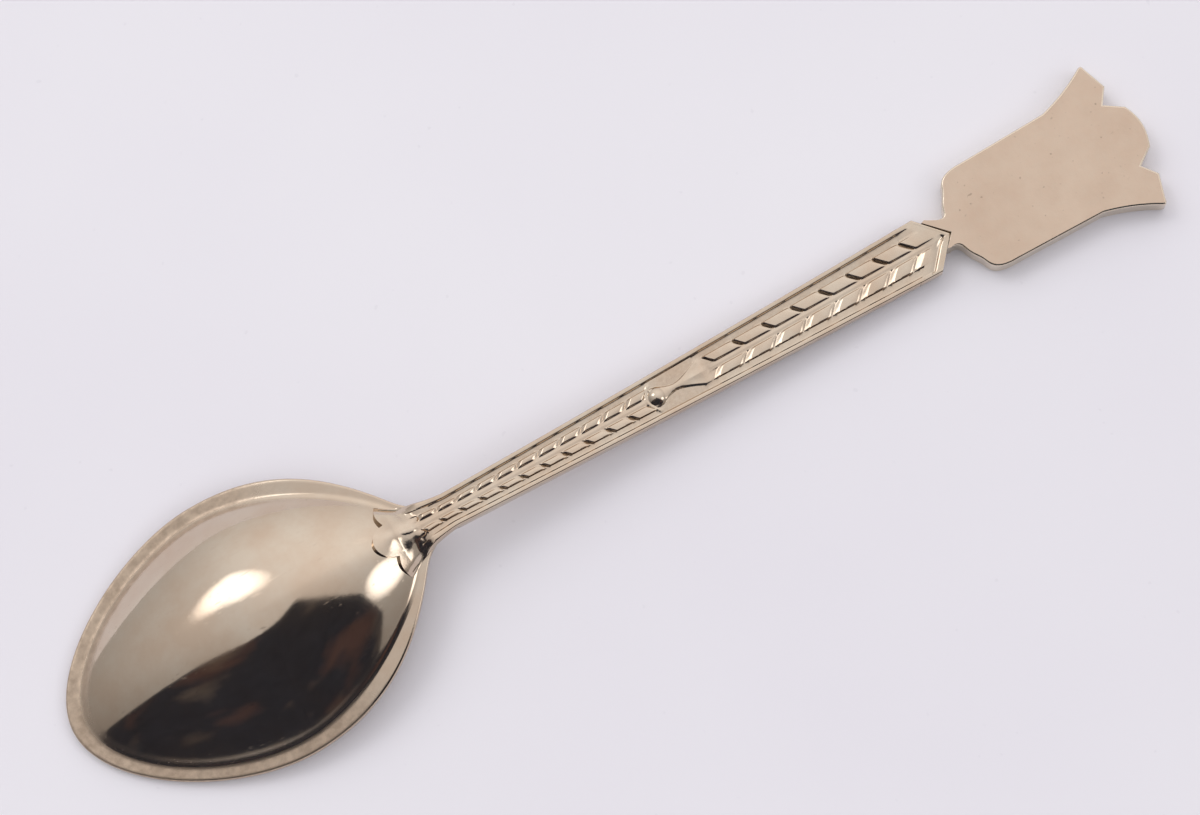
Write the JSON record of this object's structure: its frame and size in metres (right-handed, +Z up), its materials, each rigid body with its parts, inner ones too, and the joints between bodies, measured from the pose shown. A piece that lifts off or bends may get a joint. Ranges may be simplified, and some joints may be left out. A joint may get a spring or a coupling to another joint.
{
  "type": "souvenir spoon",
  "caption": "Small souvenir teaspoon with an egg-shaped bowl, leaf-patterned tapering handle and an enamelled shield-and-crown crest, lying face down.",
  "frame": {"origin": "middle of the spoon's bounding box at its lowest height, which is the table that it lies face down on", "axes": "+X from the bowl's tip to the crown along the spoon, +Z up, out of the spoon's back; the bowl's hollow and the crest's front face -Z"},
  "size_m": [0.117, 0.0264, 0.0083],
  "materials": {
    "polished_nickel": "mirror-polished warm nickel silver, with light hairlines",
    "struck_nickel": "polished struck nickel silver, darker in the recesses",
    "satin_nickel": "satin, mottled nickel silver with small pits and stains",
    "solder": "dull grey solder",
    "green_enamel": "glossy green enamel",
    "white_enamel": "glossy off-white enamel",
    "blue_enamel": "glossy blue enamel",
    "yellow_enamel": "glossy yellow enamel",
    "red_enamel": "glossy red enamel"
  },
  "bodies": {
    "root": {"bowl": "polished_nickel", "handle": "struck_nickel", "heel_solder": "solder", "crest_plate": "satin_nickel", "crest_solder": "solder", "enamel_meadow": "green_enamel", "enamel_peaks": "white_enamel", "enamel_sky": "blue_enamel", "enamel_sun": "yellow_enamel", "enamel_crown_band": "red_enamel", "crest_gem_left": "red_enamel", "crest_gem_middle": "red_enamel", "crest_gem_right": "red_enamel"}
  },
  "joints": []
}
